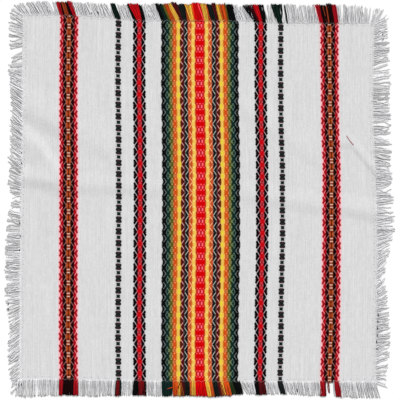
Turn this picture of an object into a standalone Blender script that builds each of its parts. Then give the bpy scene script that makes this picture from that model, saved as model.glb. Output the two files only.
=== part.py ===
"""A small fringed table cloth, lying flat, with the low creases of a cloth just unfolded.

One woven sheet carries a fringe on each of its four sides. The warp runs along Y, so the top
and bottom fringes are warp ends, and the left and right fringes are weft ends.

Tables and helpers are in millimetres, with +X to the right, +Y up the cloth and Z = 0 on the
surface that it lies on. The finished meshes are in metres.
"""

import math
from collections import namedtuple

import bmesh
import bpy

MM = 0.001

# The woven sheet
SHEET_THICKNESS = 1.2
HEM_THICKNESS = 1.5
HEM_WIDTH = 3.0
HALF_WIDTH = 178.0
HALF_HEIGHT = 181.0
COLUMN_PITCH = 10.5
RIPPLED_COLUMN_PITCH = 6.0

# The fringes
PART_GAP = 0.3
STRIP_WIDTH = 1.6
STRIP_THICKNESS = 0.9
TIP_THICKNESS = 0.6
LOCK_PITCH = 5.4
ROOT_SHARE = 0.66
MIDDLE_SHARE = 0.60
TIP_SHARE = 0.44
LEAN_POWER = 1.25

# The reach of neighbouring locks varies as a sum of waves, counted in locks
Wave = namedtuple("Wave", "turn start size")
REACH_WAVES = (Wave(2.4, 0.0, 0.07), Wave(5.3, 1.0, 0.04))

# The rows of the sheet's mesh, counted up from the main fold's crest, which they run along.
# Beyond ROWS_BENT_WITHIN of it they straighten, until they are level at ROWS_LEVEL_BEYOND.
Zone = namedtuple("Zone", "until pitch")
ROW_ZONES = (
    Zone(-14.0, 11.5), Zone(0.0, 2.8), Zone(18.0, 3.0), Zone(110.0, 6.2),
    Zone(HALF_HEIGHT - HEM_WIDTH, 11.5),
)
COLUMN_ZONES = (Zone(-125.0, RIPPLED_COLUMN_PITCH), Zone(HALF_WIDTH - HEM_WIDTH, COLUMN_PITCH))
ROWS_BENT_WITHIN = 15.0
ROWS_LEVEL_BEYOND = 130.0

# A place on the sheet depends on all four edges, so it is worked out in a few rounds
ROUNDS = 3

# An edge: how far out it lies from the middle, at each place along it
Edge = namedtuple("Edge", "along out")
TOP_EDGE = (
    Edge(-180, 186.0), Edge(-145, 186.0), Edge(-100, 184.0), Edge(-75, 181.5),
    Edge(-50, 180.5), Edge(40, 180.0), Edge(70, 178.0), Edge(100, 177.5), Edge(180, 177.5),
)
BOTTOM_EDGE = (
    Edge(-180, 180.0), Edge(-145, 180.0), Edge(-100, 181.0), Edge(-45, 182.0),
    Edge(40, 182.5), Edge(180, 182.5),
)
LEFT_EDGE = (
    Edge(-182, 180.5), Edge(-100, 180.5), Edge(10, 179.5), Edge(50, 178.3),
    Edge(120, 178.0), Edge(188, 177.0),
)
RIGHT_EDGE = (
    Edge(-184, 176.0), Edge(-110, 176.5), Edge(-60, 177.5), Edge(-15, 177.0),
    Edge(40, 175.0), Edge(90, 173.3), Edge(180, 174.5),
)

# A crease: its crest at each place across the cloth, and how high it stands there.
# It falls to the sheet within "above" on its upper side and "below" on its lower side.
Crease = namedtuple("Crease", "name above below crest")
Crest = namedtuple("Crest", "across y height")
CREASES = (
    Crease("main_fold", 16.0, 12.0, (
        Crest(-190, 24.0, 1.9), Crest(-160, 20.5, 1.8), Crest(-130, 16.0, 1.3),
        Crest(-100, 14.0, 1.0), Crest(-60, 13.0, 0.9), Crest(-40, 11.0, 0.7),
        Crest(0, 9.0, 0.4), Crest(40, 7.0, 0.7), Crest(60, 3.5, 0.9), Crest(100, -2.0, 1.0),
        Crest(120, -5.0, 1.1), Crest(140, -6.5, 1.2), Crest(160, -10.0, 1.3),
        Crest(190, -17.0, 1.3),
    )),
    Crease("left_ripple", 34.0, 18.0, (
        Crest(-190, 102.0, 1.2), Crest(-176, 94.0, 1.6), Crest(-160, 85.0, 1.9),
        Crest(-148, 79.0, 1.9), Crest(-140, 75.0, 1.9), Crest(-120, 64.0, 1.0),
        Crest(-96, 53.0, 0.9), Crest(-85, 45.0, 0.0),
    )),
    Crease("left_swell", 17.0, 28.0, (
        Crest(-190, 67.0, 1.6), Crest(-180, 64.0, 1.8), Crest(-170, 58.0, 2.1),
        Crest(-162, 52.5, 2.2), Crest(-156, 45.5, 2.2), Crest(-150, 37.0, 2.0),
        Crest(-143, 27.0, 1.8), Crest(-136, 17.0, 1.3), Crest(-126, 4.0, 0.0),
    )),
    Crease("left_dip", 28.0, 18.0, (
        Crest(-172, 26.0, 0.0), Crest(-164, 25.0, 1.2), Crest(-156, 23.0, 1.9),
        Crest(-148, 20.0, 1.8), Crest(-138, 14.0, 0.8), Crest(-126, 4.0, 0.0),
    )),
    Crease("right_crease", 12.0, 8.0, (
        Crest(128, 57.0, 0.0), Crest(138, 57.0, 0.7), Crest(150, 57.0, 0.8),
        Crest(156, 52.0, 0.9), Crest(164, 42.0, 0.9), Crest(174, 31.0, 0.9),
        Crest(190, 16.0, 0.7),
    )),
    Crease("right_ripple", 26.0, 16.0, (
        Crest(26, 100.0, 0.0), Crest(40, 94.0, 0.7), Crest(55, 84.0, 0.7),
        Crest(85, 64.0, 0.7), Crest(105, 51.0, 0.6), Crest(120, 42.0, 0.3),
        Crest(130, 36.0, 0.0),
    )),
)

# A fringe: how far its tips reach out from the sheet, and how far they are combed along the
# edge, at each place along it. "bare" lists the stretches where no lock grows.
Comb = namedtuple("Comb", "along reach lean")
Fringe = namedtuple("Fringe", "name edge outward rows bare")
FRINGES = (
    Fringe("fringe_top", TOP_EDGE, (0, 1), (
        Comb(-178, 9.0, -10.0), Comb(-168, 10.5, -8.0), Comb(-155, 12.0, -6.5),
        Comb(-140, 11.5, -4.5), Comb(-85, 12.0, -5.5), Comb(-60, 14.0, -4.5),
        Comb(-35, 14.0, -6.5), Comb(-20, 14.5, -7.5), Comb(0, 15.5, -3.5),
        Comb(35, 14.0, -5.0), Comb(60, 15.0, -5.0), Comb(80, 15.0, -3.5),
        Comb(120, 16.0, -3.0), Comb(150, 15.0, -1.5), Comb(166, 14.0, 1.0),
        Comb(176, 11.5, 8.0),
    ), ()),
    Fringe("fringe_bottom", BOTTOM_EDGE, (0, -1), (
        Comb(-181, 14.5, -3.5), Comb(-170, 15.5, -1.0), Comb(-135, 14.0, -1.0),
        Comb(-100, 14.5, -0.5), Comb(-65, 12.0, -1.0), Comb(-40, 13.0, 0.0),
        Comb(-10, 12.0, 0.5), Comb(5, 13.0, 2.0), Comb(40, 10.5, 5.0),
        Comb(58, 11.0, 1.0), Comb(80, 10.5, 2.5), Comb(120, 12.5, 1.0),
        Comb(150, 13.5, 2.0), Comb(176, 14.5, 4.5),
    ), ((127, 132),)),
    Fringe("fringe_left", LEFT_EDGE, (-1, 0), (
        Comb(-180, 8.5, -10.0), Comb(-170, 9.5, -9.0), Comb(-155, 11.5, -8.0),
        Comb(-140, 12.5, -9.0), Comb(-125, 10.5, -8.0), Comb(-112, 10.5, -6.5),
        Comb(-104, 12.5, -4.5), Comb(-95, 15.0, -2.0), Comb(-70, 15.0, -1.0),
        Comb(-45, 14.0, -0.5), Comb(-25, 13.5, 2.0), Comb(-12, 12.0, 2.5),
        Comb(0, 8.5, 0.0), Comb(12, 12.5, 3.5), Comb(30, 12.0, 6.0),
        Comb(55, 11.5, 8.0), Comb(80, 11.0, 9.0), Comb(106, 11.5, 9.0),
        Comb(120, 13.0, 5.0), Comb(134, 13.0, -0.5), Comb(147, 11.0, -4.0),
        Comb(158, 13.0, -1.5), Comb(168, 14.0, 3.0), Comb(178, 13.0, 5.0),
        Comb(188, 10.5, 8.5),
    ), ((-12, -7), (0, 4), (138, 142), (150, 154))),
    Fringe("fringe_right", RIGHT_EDGE, (1, 0), (
        Comb(-183, 9.0, -7.0), Comb(-170, 11.0, 1.5), Comb(-150, 13.5, 2.5),
        Comb(-125, 13.5, 1.5), Comb(-105, 12.0, 3.0), Comb(-93, 9.5, 6.0),
        Comb(-80, 7.5, 7.5), Comb(-64, 11.0, 8.0), Comb(-48, 13.0, 5.0),
        Comb(-35, 16.5, 2.0), Comb(-22, 16.5, -2.0), Comb(0, 16.0, 0.0),
        Comb(20, 16.5, 0.0), Comb(38, 16.5, -4.0), Comb(60, 17.0, -1.5),
        Comb(90, 17.5, 0.5), Comb(115, 16.5, 2.0), Comb(135, 16.0, 3.5),
        Comb(152, 15.5, 1.0), Comb(166, 14.5, 3.0), Comb(177, 12.5, 6.5),
    ), ((-74, -69),)),
)

# Finishes: colour as linear red, green and blue, and roughness
WHITE_COTTON = ("white_cotton", (0.70, 0.70, 0.71), 0.9)
WARP_ENDS = ("warp_ends", (0.62, 0.60, 0.60), 0.9)
WEFT_ENDS = ("weft_ends", (0.60, 0.60, 0.61), 0.9)


def clear_scene():
    """Remove whatever objects the file opened with."""
    for old in list(bpy.data.objects):
        bpy.data.objects.remove(old, do_unlink=True)


def smooth_step(value):
    """Ease from 0 to 1 with level ends."""
    held = min(1.0, max(0.0, value))
    return held * held * (3.0 - 2.0 * held)


def read_table(rows, place, column):
    """Read one column of a table at a place between its rows, along a smooth curve."""
    keys = [row[0] for row in rows]
    values = [getattr(row, column) for row in rows]
    held = min(keys[-1], max(keys[0], place))
    spot = max(index for index in range(len(keys) - 1) if keys[index] <= held)

    def slope(index):
        before = max(0, index - 1)
        after = min(len(keys) - 1, index + 1)
        return (values[after] - values[before]) / (keys[after] - keys[before])

    span = keys[spot + 1] - keys[spot]
    t = (held - keys[spot]) / span
    ease = smooth_step(t)
    straight = values[spot] + (values[spot + 1] - values[spot]) * ease
    leaving = (t - 2.0 * t * t + t ** 3) * span * slope(spot)
    arriving = (t ** 3 - t * t) * span * slope(spot + 1)
    return straight + leaving + arriving


def crease_height(crease, x, y):
    """Height of one crease above the flat sheet."""
    first = crease.crest[0].across
    last = crease.crest[-1].across
    if x < first or x > last:
        return 0.0
    off_crest = y - read_table(crease.crest, x, "y")
    reach = crease.above if off_crest > 0.0 else crease.below
    height = max(0.0, read_table(crease.crest, x, "height"))
    return height * (1.0 - smooth_step(abs(off_crest) / reach))


def lift(x, y):
    """Height of the sheet's underside above the surface that it lies on."""
    heights = [crease_height(crease, x, y) for crease in CREASES]
    return math.sqrt(sum(height * height for height in heights))


def row_bend(x, v):
    """How far a row of the mesh is moved at x, so that the middle rows run along the fold."""
    from_crest = abs(HALF_HEIGHT * (2.0 * v - 1.0))
    away = (from_crest - ROWS_BENT_WITHIN) / (ROWS_LEVEL_BEYOND - ROWS_BENT_WITHIN)
    main_fold = CREASES[0]
    return read_table(main_fold.crest, x, "y") * (1.0 - smooth_step(away))


def sheet_point(u, v):
    """The place on the sheet at the shares u across it and v up it."""
    x = 0.0
    y = 0.0
    for _ in range(ROUNDS):
        left = -read_table(LEFT_EDGE, y, "out")
        right = read_table(RIGHT_EDGE, y, "out")
        x = left + (right - left) * u
        bottom = -read_table(BOTTOM_EDGE, x, "out")
        top = read_table(TOP_EDGE, x, "out")
        y = bottom + (top - bottom) * v + row_bend(x, v)
    return x, y


def shares(half, zones):
    """Shares from 0 to 1 across the sheet, zone by zone, with the hem's line at each end."""
    places = [-half, -half + HEM_WIDTH]
    for zone in zones:
        origin = places[-1]
        span = zone.until - origin
        steps = round(span / zone.pitch)
        places += [origin + span * step / steps for step in range(1, steps + 1)]
    places.append(half)
    return [(place + half) / (2.0 * half) for place in places]


def solid_object(name, points, faces, finish):
    """Make one closed solid, in metres, with its own finish."""
    mesh = bpy.data.meshes.new(name)
    mesh.from_pydata([tuple(c * MM for c in point) for point in points], [], faces)
    body = bmesh.new()
    body.from_mesh(mesh)
    bmesh.ops.triangulate(body, faces=body.faces[:])
    bmesh.ops.recalc_face_normals(body, faces=body.faces[:])
    body.to_mesh(mesh)
    body.free()
    material_name, colour, roughness = finish
    material = bpy.data.materials.new(f"{name}_{material_name}")
    material.use_nodes = True
    shader = material.node_tree.nodes["Principled BSDF"]
    shader.inputs["Base Color"].default_value = (*colour, 1.0)
    shader.inputs["Roughness"].default_value = roughness
    shader.inputs["Metallic"].default_value = 0.0
    mesh.materials.append(material)
    made = bpy.data.objects.new(name, mesh)
    bpy.context.scene.collection.objects.link(made)
    return made


def make_cloth():
    """The woven sheet: flat where it lies, lifted along its creases, thicker at its hem."""
    columns = shares(HALF_WIDTH, COLUMN_ZONES)
    rows = shares(HALF_HEIGHT, ROW_ZONES)
    across = len(columns)
    up = len(rows)
    under = []
    over = []
    for j, v in enumerate(rows):
        for i, u in enumerate(columns):
            x, y = sheet_point(u, v)
            low = lift(x, y)
            at_rim = i in (0, across - 1) or j in (0, up - 1)
            thickness = HEM_THICKNESS if at_rim else SHEET_THICKNESS
            under.append((x, y, low))
            over.append((x, y, low + thickness))

    def spot(i, j):
        return j * across + i

    layer = len(under)
    faces = []
    for j in range(up - 1):
        for i in range(across - 1):
            corners = (spot(i, j), spot(i + 1, j), spot(i + 1, j + 1), spot(i, j + 1))
            faces.append(tuple(reversed(corners)))
            faces.append(tuple(corner + layer for corner in corners))
    rim = [spot(i, 0) for i in range(across)]
    rim += [spot(across - 1, j) for j in range(1, up)]
    rim += [spot(i, up - 1) for i in range(across - 2, -1, -1)]
    rim += [spot(0, j) for j in range(up - 2, 0, -1)]
    for here, after in zip(rim, rim[1:] + rim[:1]):
        faces.append((here, after, after + layer, here + layer))
    return solid_object("cloth", under + over, faces, WHITE_COTTON)


def edge_place(fringe, along, out):
    """A place beside the sheet: along its edge, and a distance out from that edge."""
    from_middle = read_table(fringe.edge, along, "out") + out
    outward_x, outward_y = fringe.outward
    return (
        outward_x * from_middle + abs(outward_y) * along,
        outward_y * from_middle + abs(outward_x) * along,
    )


def edge_ends(fringe):
    """Where a fringe's strip starts and stops, at the sheet's two corners."""
    if fringe.outward[0] == 0:
        v = 1.0 if fringe.outward[1] > 0 else 0.0
        return sheet_point(0.0, v)[0], sheet_point(1.0, v)[0]
    u = 1.0 if fringe.outward[0] > 0 else 0.0
    return sheet_point(u, 0.0)[1], sheet_point(u, 1.0)[1]


def combed_place(fringe, along, share, lock):
    """A place in the fringe: share 0 is at the strip and share 1 at the tips."""
    uneven = sum(wave.size * math.sin(wave.turn * lock + wave.start) for wave in REACH_WAVES)
    reach = read_table(fringe.rows, along, "reach") * (1.0 + uneven)
    lean = read_table(fringe.rows, along, "lean") * share ** LEAN_POWER
    x, y = edge_place(fringe, along, PART_GAP + STRIP_WIDTH + (reach - STRIP_WIDTH) * share)
    return x + lean * abs(fringe.outward[1]), y + lean * abs(fringe.outward[0])


def is_bare(fringe, along):
    """Whether no lock grows at this place."""
    return any(start < along < stop for start, stop in fringe.bare)


def make_fringe(fringe):
    """A narrow strip beside the sheet's edge, with tapered four-sided locks grown from it."""
    start, stop = edge_ends(fringe)
    count = round((stop - start) / LOCK_PITCH)
    pitch = (stop - start) / count
    points = []
    faces = []

    def strip_ring(along):
        inner = edge_place(fringe, along, PART_GAP)
        outer = edge_place(fringe, along, PART_GAP + STRIP_WIDTH)
        on_sheet = edge_place(fringe, along, 0.0)
        low = lift(*on_sheet)
        high = low + STRIP_THICKNESS
        first = len(points)
        points.extend([(*inner, low), (*inner, high), (*outer, high), (*outer, low)])
        return [first, first + 1, first + 2, first + 3]

    def lock_ring(centre, share, width_share, thickness, lock):
        half = pitch * width_share / 2.0
        before = combed_place(fringe, centre - half, share, lock)
        after = combed_place(fringe, centre + half, share, lock)
        first = len(points)
        points.extend([(*before, thickness), (*after, thickness)])
        points.extend([(*after, 0.0), (*before, 0.0)])
        return [first, first + 1, first + 2, first + 3]

    def join(ring_a, ring_b, sides):
        for side in sides:
            after = (side + 1) % 4
            faces.append((ring_a[side], ring_a[after], ring_b[after], ring_b[side]))

    previous = strip_ring(start)
    faces.append(tuple(previous))
    for lock in range(count):
        centre = start + pitch * (lock + 0.5)
        if is_bare(fringe, centre):
            continue
        near = strip_ring(centre - pitch * ROOT_SHARE / 2.0)
        far = strip_ring(centre + pitch * ROOT_SHARE / 2.0)
        join(previous, near, (0, 1, 2, 3))
        join(near, far, (0, 1, 3))
        root = [near[2], far[2], far[3], near[3]]
        thickness = (STRIP_THICKNESS + TIP_THICKNESS) / 2.0
        middle = lock_ring(centre, 0.5, MIDDLE_SHARE, thickness, lock)
        tip = lock_ring(centre, 1.0, TIP_SHARE, TIP_THICKNESS, lock)
        join(root, middle, (0, 1, 2, 3))
        join(middle, tip, (0, 1, 2, 3))
        faces.append(tuple(tip))
        previous = far
    last = strip_ring(stop)
    join(previous, last, (0, 1, 2, 3))
    faces.append(tuple(last))
    finish = WEFT_ENDS if fringe.outward[1] == 0 else WARP_ENDS
    return solid_object(fringe.name, points, faces, finish)


def centre_on_origin(pieces):
    """Put the middle of the whole part's outline over the origin."""
    corners = [vertex.co for piece in pieces for vertex in piece.data.vertices]
    for axis in (0, 1):
        low = min(corner[axis] for corner in corners)
        high = max(corner[axis] for corner in corners)
        middle = (low + high) / 2.0
        for corner in corners:
            corner[axis] -= middle
    for piece in pieces:
        piece.data.update()


def main():
    clear_scene()
    pieces = [make_cloth()]
    pieces += [make_fringe(fringe) for fringe in FRINGES]
    centre_on_origin(pieces)


main()
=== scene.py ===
# %% [markdown]
# # A small woven tablecloth
#
# A square of white cotton, 355 by 363 mm, with coloured stripes woven in and a cut fringe on all four
# sides. It lies flat, with a few low creases from folding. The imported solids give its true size, outline
# and creases. This script replaces them with what a weaver would recognise: a ribbed white ground, seven
# stripes of coloured warp with their figures, sewn edges and single fringe yarns.
#
# Lengths in the tables are millimetres from the middle of the cloth, seen from above: x to the right
# across the stripes, y up the cloth along the warp.

# %% Load the fixed frame
import math
from collections import namedtuple

import bpy
import numpy as np
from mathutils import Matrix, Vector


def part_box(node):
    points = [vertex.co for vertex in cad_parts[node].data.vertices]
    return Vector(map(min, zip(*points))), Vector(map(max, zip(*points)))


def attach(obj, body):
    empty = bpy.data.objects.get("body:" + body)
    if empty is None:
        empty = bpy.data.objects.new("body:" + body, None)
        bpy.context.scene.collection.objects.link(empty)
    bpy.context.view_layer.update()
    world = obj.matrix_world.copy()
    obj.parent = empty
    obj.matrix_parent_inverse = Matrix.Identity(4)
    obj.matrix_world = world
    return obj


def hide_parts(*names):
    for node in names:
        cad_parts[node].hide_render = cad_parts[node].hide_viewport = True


MM = 0.001
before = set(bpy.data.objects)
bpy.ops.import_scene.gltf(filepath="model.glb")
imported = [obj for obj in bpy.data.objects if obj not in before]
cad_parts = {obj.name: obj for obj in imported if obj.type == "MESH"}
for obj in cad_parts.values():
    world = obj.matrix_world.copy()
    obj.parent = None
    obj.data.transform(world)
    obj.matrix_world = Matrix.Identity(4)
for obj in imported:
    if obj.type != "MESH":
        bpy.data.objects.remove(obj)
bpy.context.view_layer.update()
print("solids in the frame:", sorted(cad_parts))

# %% [markdown]
# ## The outline
#
# No edge is quite straight: the weave draws in where the stripes are dense. Each edge is a short table
# of how far out it lies, read as a smooth curve. The same tables shape the solids.

# %% Edges of the cloth
TOP_EDGE = [
    (-180, 186.0), (-145, 186.0), (-100, 184.0), (-75, 181.5), (-50, 180.5),
    (40, 180.0), (70, 178.0), (100, 177.5), (180, 177.5),
]
BOTTOM_EDGE = [(-180, 180.0), (-145, 180.0), (-100, 181.0), (-45, 182.0), (40, 182.5), (180, 182.5)]
LEFT_EDGE = [(-182, 180.5), (-100, 180.5), (10, 179.5), (50, 178.3), (120, 178.0), (188, 177.0)]
RIGHT_EDGE = [
    (-184, 176.0), (-110, 176.5), (-60, 177.5), (-15, 177.0), (40, 175.0), (90, 173.3), (180, 174.5),
]


def smooth_step(share):
    """Eases from 0 to 1 without a corner at either end."""
    share = np.clip(share, 0.0, 1.0)
    return share * share * (3.0 - 2.0 * share)


def between(start, end, share):
    """The value that lies a share of the way from start to end."""
    return start + (end - start) * share


def read_table(table, place, column=1):
    """Reads one column of a table of rows as a smooth curve, at one place or an array of places."""
    keys = np.array([row[0] for row in table], float)
    values = np.array([row[column] for row in table], float)
    last = len(keys) - 1
    before = np.clip(np.arange(last + 1) - 1, 0, last)
    after = np.clip(np.arange(last + 1) + 1, 0, last)
    slopes = (values[after] - values[before]) / (keys[after] - keys[before])
    place = np.clip(place, keys[0], keys[-1])
    i = np.clip(np.searchsorted(keys, place, side="right") - 1, 0, last - 1)
    span = keys[i + 1] - keys[i]
    t = (place - keys[i]) / span
    straight = between(values[i], values[i + 1], smooth_step(t))
    leaving = (t - 2 * t**2 + t**3) * span * slopes[i]
    arriving = (t**3 - t**2) * span * slopes[i + 1]
    return straight + leaving + arriving


middle_height = read_table(TOP_EDGE, 0) + read_table(BOTTOM_EDGE, 0)
print("height of the cloth in the middle:", float(middle_height), "mm")

# %% [markdown]
# ## The creases
#
# The cloth has been folded in half, so one soft ridge runs from side to side, and five shorter ones slant
# in from the edges. A crease is a crest line with a height, and a width on either side. The root of the
# summed squares makes crossing ridges melt into each other instead of piling up.

# %% Crest lines
Crease = namedtuple("Crease", "above below crest")
CREASES = {
    "main_fold": Crease(16.0, 12.0, [
        (-190, 24, 1.9), (-160, 20.5, 1.8), (-130, 16, 1.3), (-100, 14, 1.0), (-60, 13, 0.9),
        (-40, 11, 0.7), (0, 9, 0.4), (40, 7, 0.7), (60, 3.5, 0.9), (100, -2, 1.0), (120, -5, 1.1),
        (140, -6.5, 1.2), (160, -10, 1.3), (190, -17, 1.3),
    ]),
    "left_ripple": Crease(34.0, 18.0, [
        (-190, 102, 1.2), (-176, 94, 1.6), (-160, 85, 1.9), (-148, 79, 1.9), (-140, 75, 1.9),
        (-120, 64, 1.0), (-96, 53, 0.9), (-85, 45, 0),
    ]),
    "left_swell": Crease(17.0, 28.0, [
        (-190, 67, 1.6), (-180, 64, 1.8), (-170, 58, 2.1), (-162, 52.5, 2.2), (-156, 45.5, 2.2),
        (-150, 37, 2.0), (-143, 27, 1.8), (-136, 17, 1.3), (-126, 4, 0),
    ]),
    "left_dip": Crease(28.0, 18.0, [
        (-172, 26, 0), (-164, 25, 1.2), (-156, 23, 1.9), (-148, 20, 1.8), (-138, 14, 0.8), (-126, 4, 0),
    ]),
    "right_crease": Crease(12.0, 8.0, [
        (128, 57, 0), (138, 57, 0.7), (150, 57, 0.8), (156, 52, 0.9), (164, 42, 0.9), (174, 31, 0.9),
        (190, 16, 0.7),
    ]),
    "right_ripple": Crease(26.0, 16.0, [
        (26, 100, 0), (40, 94, 0.7), (55, 84, 0.7), (85, 64, 0.7), (105, 51, 0.6), (120, 42, 0.3),
        (130, 36, 0),
    ]),
}


def lift(x, y):
    """How far the creases raise the cloth off the table at a place, in mm."""
    total = np.zeros(np.broadcast(x, y).shape)
    for crease in CREASES.values():
        off = y - read_table(crease.crest, x)
        reach = np.where(off > 0, crease.above, crease.below)
        crest_height = np.maximum(read_table(crease.crest, x, column=2), 0)
        height = crest_height * (1 - smooth_step(np.abs(off) / reach))
        total = total + height**2
    return np.sqrt(total)


places = np.linspace(-176, 176, 177)
print("highest crease:", round(float(lift(places, places[:, None]).max()), 2), "mm")

# %% [markdown]
# ## Where a yarn lies
#
# A weaver counts yarns, not millimetres. So every place is named by its warp place, in mm of an even warp
# from the middle stripe, and by its share of the way up. The stripes wander a little, so the axis of each
# one is a table too, and the ground between them stretches to fit.

# %% Axes of the stripes
AXIS_HEIGHTS = (170, 136, 102, 68, 34, 0, -34, -68, -102, -136, -170)
AXES = {
    -131.0: (-130.9, -131.6, -131.7, -131.6, -131.3, -131.4, -131.4, -131.6, -131.6, -131.8, -131.2),
    -81.5: (-81.5, -82.0, -81.8, -81.4, -81.3, -81.1, -81.4, -81.5, -81.8, -82.0, -81.5),
    -61.0: (-60.4, -60.7, -60.5, -60.0, -59.8, -59.7, -59.9, -60.1, -60.4, -60.6, -60.1),
    0.0: (-0.2, -0.3, -0.1, 0.5, 1.0, 0.9, 0.9, 0.6, 0.1, -0.2, -0.2),
    61.0: (60.8, 60.6, 60.8, 61.5, 62.1, 62.0, 62.4, 61.8, 61.0, 60.5, 59.9),
    81.5: (80.8, 80.6, 80.8, 81.1, 82.3, 82.2, 82.5, 81.8, 81.1, 80.9, 80.1),
    131.0: (129.2, 129.5, 130.0, 130.4, 131.6, 131.3, 131.4, 131.0, 130.9, 130.6, 129.5),
}
LEFT_HEM = -179.0
RIGHT_HEM = 176.0
ROUNDS = 3


def across(warp, y):
    """The x of a warp place at a height, read between the edges and the stripes' axes."""
    knots = [LEFT_HEM, *AXES, RIGHT_HEM]
    lines = [-read_table(LEFT_EDGE, y)]
    for wander in AXES.values():
        lines.append(read_table(sorted(zip(AXIS_HEIGHTS, wander)), y))
    lines.append(read_table(RIGHT_EDGE, y))
    x = np.zeros(np.broadcast(warp, y).shape)
    for start, end, left, right in zip(knots, knots[1:], lines, lines[1:]):
        here = (warp >= start) & (warp <= end)
        share = (warp - start) / (end - start)
        x = np.where(here, between(left, right, share), x)
    return x


def on_cloth(warp, up):
    """The x and y, in mm, of a warp place and a share of the way up the cloth."""
    x = np.array(warp, float) + np.zeros(np.shape(up))
    for _ in range(ROUNDS):
        bottom = -read_table(BOTTOM_EDGE, x)
        top = read_table(TOP_EDGE, x)
        y = between(bottom, top, up)
        x = across(warp, y)
    return x, y


# %% Where the frame's origin lies
# The frame's origin is under the middle of the fringed outline, and the tables count from the middle
# of the cloth, so the two differ by about a millimetre. The cloth's own box gives the difference.
EDGE_POINTS = 120
all_across = np.linspace(LEFT_HEM, RIGHT_HEM, EDGE_POINTS)
all_up = np.linspace(0, 1, EDGE_POINTS)
left_x, right_x = (on_cloth(np.full(EDGE_POINTS, hem), all_up)[0] for hem in (LEFT_HEM, RIGHT_HEM))
low_y, high_y = (on_cloth(all_across, np.full(EDGE_POINTS, up))[1] for up in (0.0, 1.0))
cloth_low, cloth_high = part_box("cloth")
SHIFT_X = (cloth_low.x + cloth_high.x) / 2 - (left_x.min() + right_x.max()) / 2 * MM
SHIFT_Y = (cloth_low.y + cloth_high.y) / 2 - (low_y.min() + high_y.max()) / 2 * MM
print("shift to the frame, in mm:", round(SHIFT_X / MM, 2), round(SHIFT_Y / MM, 2))


def to_frame(x, y, z):
    """Turns arrays of mm in the cloth's tables into metres in the frame."""
    return np.stack([x * MM + SHIFT_X, y * MM + SHIFT_Y, z * MM + 0 * x], axis=-1)


# %% [markdown]
# ## Node trees written as sums
#
# A shader is easier to read as arithmetic than as a web of nodes. `Wire` stands for one output socket,
# and adding or multiplying wires adds the Math nodes. Every other node comes from `Finish.node`.

# %% Wires and finishes
def operator(operation, swapped=False):
    """A sum of a wire and another wire or number, made of one Math node."""
    def apply(wire, other):
        return wire.maths(operation, *((other, wire) if swapped else (wire, other)))
    return apply


class Wire:
    """One output socket, which works in sums with numbers and other wires."""

    def __init__(self, finish, socket):
        self.finish = finish
        self.socket = socket

    def maths(self, operation, *values):
        return self.finish.node("ShaderNodeMath", dict(enumerate(values)), operation=operation)

    __add__, __radd__ = operator("ADD"), operator("ADD", swapped=True)
    __sub__, __rsub__ = operator("SUBTRACT"), operator("SUBTRACT", swapped=True)
    __mul__, __rmul__ = operator("MULTIPLY"), operator("MULTIPLY", swapped=True)

    def __abs__(self):
        return self.maths("ABSOLUTE", self)

    def part(self):
        """What is left after the whole number is taken off."""
        return self.maths("FRACT", self)

    def wave(self):
        return self.maths("SINE", self)

    def ramp(self, start, end):
        """Rises softly from 0 at start to 1 at end."""
        sockets = {"Value": self, "From Min": start, "From Max": end}
        return self.finish.node("ShaderNodeMapRange", sockets, interpolation_type="SMOOTHSTEP")


MIX_FACTOR, MIX_FIRST, MIX_SECOND, MIX_RESULT = 0, 6, 7, 2


class Finish:
    """A material, with a short way to add nodes to it. Fixed values go on its shader."""

    def __init__(self, name, **fixed):
        self.material = bpy.data.materials.new(name)
        self.material.use_nodes = True
        self.tree = self.material.node_tree
        self.wear(**fixed)

    def plug(self, value, socket):
        if isinstance(value, Wire):
            self.tree.links.new(value.socket, socket)
        else:
            socket.default_value = value

    def wear(self, **values):
        """Gives the shader values or links, by the socket's name."""
        for name, value in values.items():
            self.plug(value, self.tree.nodes["Principled BSDF"].inputs[name.replace("_", " ")])

    def node(self, kind, sockets, output=0, **settings):
        """Adds a node: its settings first, then its sockets' values or links."""
        made = self.tree.nodes.new(kind)
        for name, value in settings.items():
            setattr(made, name, value)
        for name, value in sockets.items():
            self.plug(value, made.inputs[name])
        return Wire(self, made.outputs[output])

    def attribute(self, name, output="Vector"):
        return self.node("ShaderNodeAttribute", {}, output, attribute_name=name)

    def parts(self, name):
        """The X, Y and Z of a mesh attribute, as three wires."""
        split = self.node("ShaderNodeSeparateXYZ", {"Vector": self.attribute(name)})
        return [Wire(self, socket) for socket in split.socket.node.outputs]

    def noise(self, x, y, z=0.0, detail=2.0):
        """Soft noise from 0 to 1, about one blot a unit."""
        place = self.node("ShaderNodeCombineXYZ", {"X": x, "Y": y, "Z": z})
        return self.node("ShaderNodeTexNoise", {"Vector": place, "Scale": 1.0, "Detail": detail})

    def blend(self, factor, first, second, how="MIX"):
        """Mixes two colours."""
        sockets = {MIX_FACTOR: factor, MIX_FIRST: first, MIX_SECOND: second}
        return self.node("ShaderNodeMix", sockets, MIX_RESULT, data_type="RGBA", blend_type=how)

    def shade(self, colour, amount):
        """Multiplies a colour by a plain number, such as 0.9 to darken it a little."""
        grey = self.node("ShaderNodeCombineColor", {"Red": amount, "Green": amount, "Blue": amount})
        return self.blend(1.0, colour, grey, "MULTIPLY")

    def bump(self, height, depth):
        """A normal from a height of 0 to 1 that stands for so many metres."""
        return self.node("ShaderNodeBump", {"Height": height, "Distance": depth})


# %% [markdown]
# ## Yarn colours
#
# The light in this scene gives a matt surface a little more than its own colour back, so a yarn's colour
# is the colour seen in the photo divided by that light. A yarn looks pale where the white weft passes
# over it, so the list has bare yarns first, and after them what the eye sees where one is tied down.

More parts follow.
